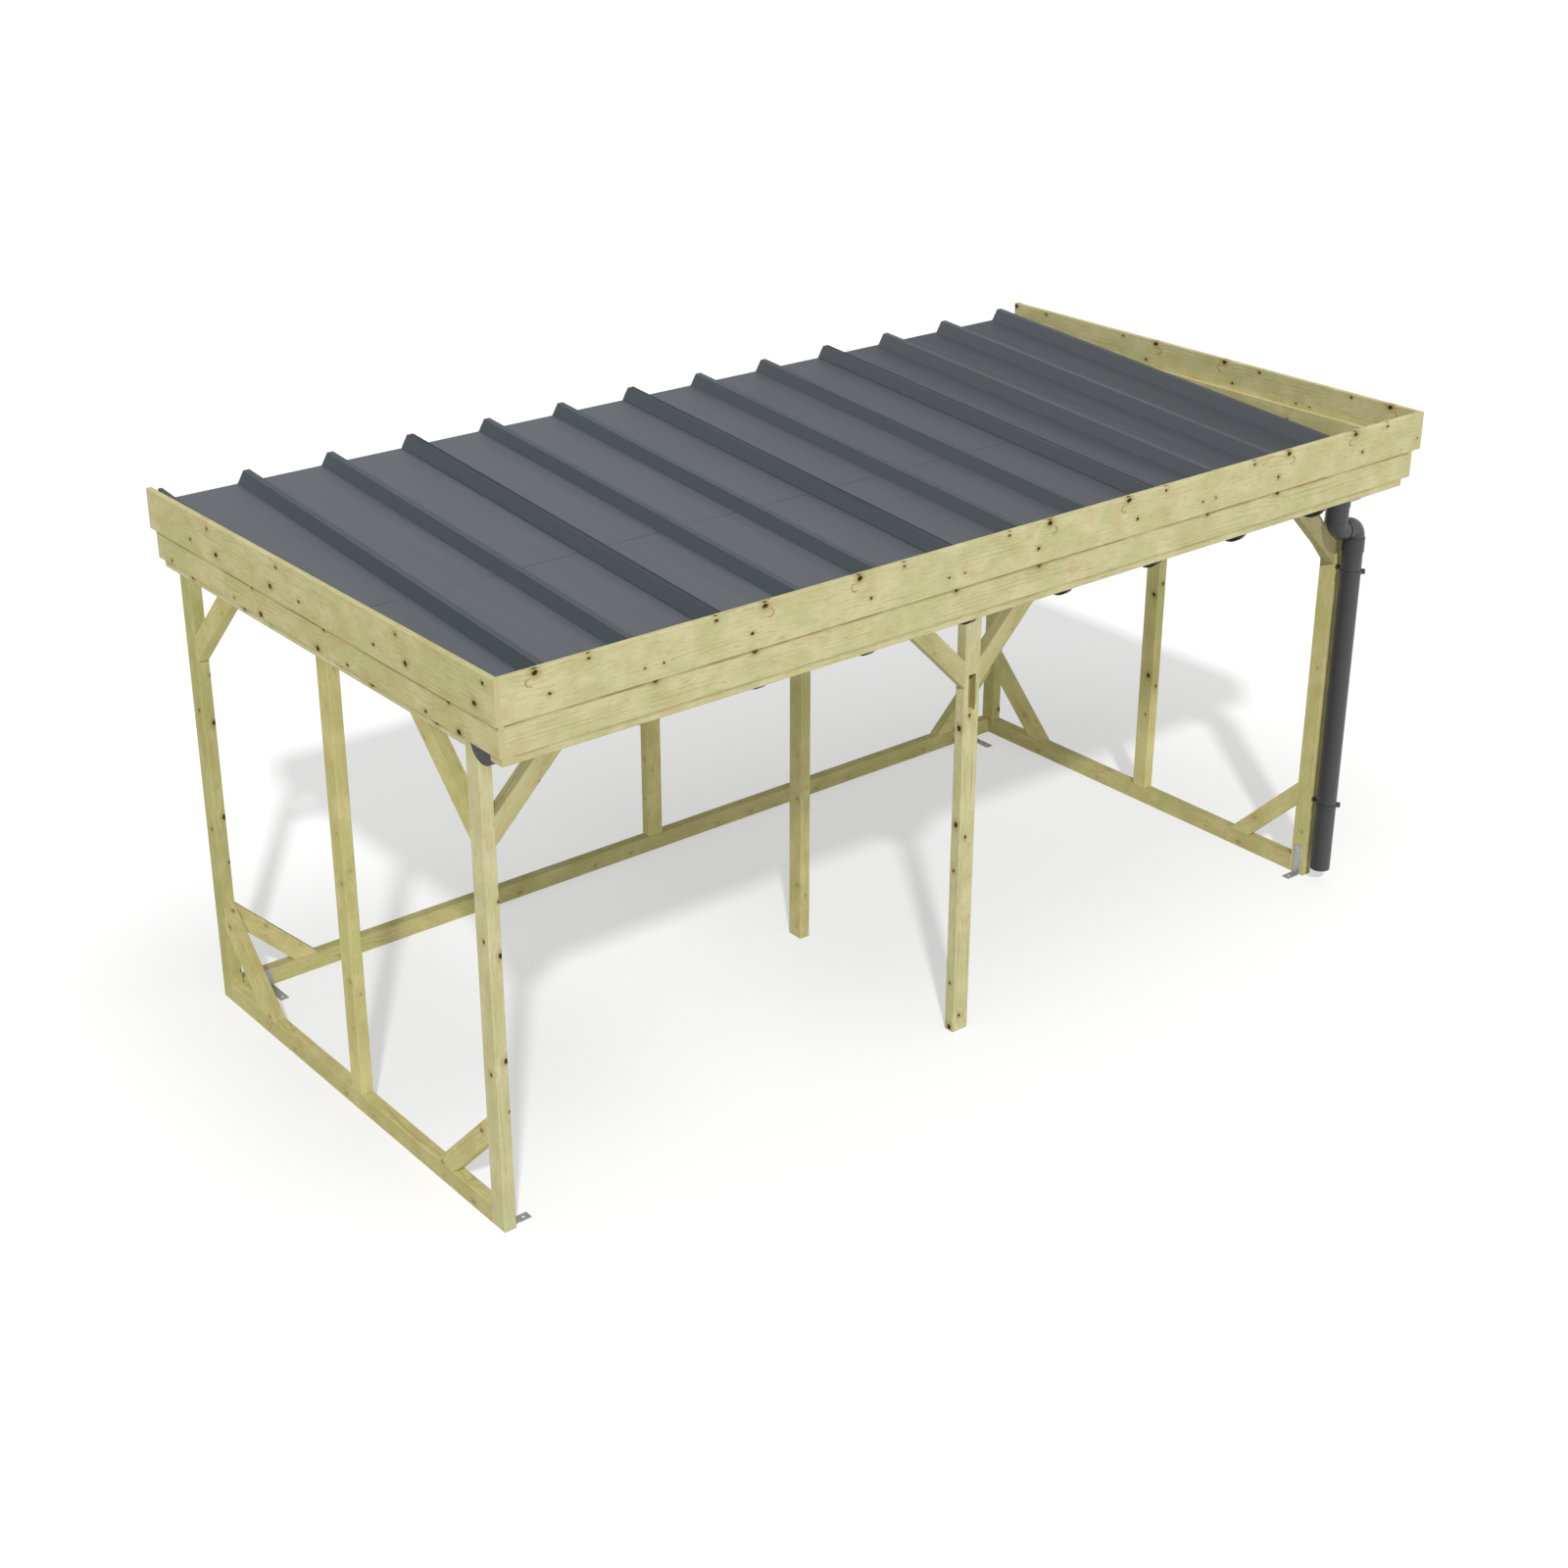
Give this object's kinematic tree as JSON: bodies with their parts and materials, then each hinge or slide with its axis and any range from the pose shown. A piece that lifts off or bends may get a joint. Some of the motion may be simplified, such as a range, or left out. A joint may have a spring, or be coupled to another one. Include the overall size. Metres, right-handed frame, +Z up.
{
  "type": "lean-to firewood shelter",
  "caption": "Open lean-to firewood shelter: knee-braced timber posts, stepped board fascia, low-pitch ribbed steel roof, front gutter and downpipe.",
  "frame": {"origin": "middle of the shelter's outline on the floor", "axes": "+X along the length to the downpipe's end, +Y from the open front with the gutter to the back, +Z up"},
  "size_m": [4.145, 2.1812, 2.024],
  "materials": {
    "frame_timber": "satin",
    "fascia_board": "satin",
    "roof_steel": "satin",
    "rainwater_plastic": "satin",
    "anchor_steel": "satin"
  },
  "bodies": {
    "root": {"post_front_left": "frame_timber", "post_front_middle": "frame_timber", "post_front_right": "frame_timber", "post_middle_left": "frame_timber", "post_centre": "frame_timber", "post_middle_right": "frame_timber", "post_back_left": "frame_timber", "post_back_middle": "frame_timber", "post_back_right": "frame_timber", "sole_plate_left": "frame_timber", "sole_plate_right": "frame_timber", "sole_plate_back": "frame_timber", "lower_braces_left": "frame_timber", "lower_braces_right": "frame_timber", "lower_braces_back": "frame_timber", "upper_braces_front": "frame_timber", "upper_braces_left": "frame_timber", "upper_braces_right": "frame_timber", "purlin_front": "frame_timber", "purlin_middle": "frame_timber", "purlin_back": "frame_timber", "rail_left": "frame_timber", "rail_right": "frame_timber", "rail_front": "frame_timber", "lower_fascia_left": "fascia_board", "lower_fascia_right": "fascia_board", "lower_fascia_front": "fascia_board", "upper_fascia_left": "fascia_board", "upper_fascia_right": "fascia_board", "upper_fascia_front": "fascia_board", "roof_sheet_1": "roof_steel", "roof_sheet_2": "roof_steel", "roof_sheet_3": "roof_steel", "roof_sheet_4": "roof_steel", "gutter": "rainwater_plastic", "gutter_brackets": "rainwater_plastic", "gutter_outlet": "rainwater_plastic", "elbow_upper": "rainwater_plastic", "elbow_lower": "rainwater_plastic", "downpipe": "rainwater_plastic", "downpipe_clips": "rainwater_plastic", "ground_anchors": "anchor_steel"}
  },
  "joints": []
}
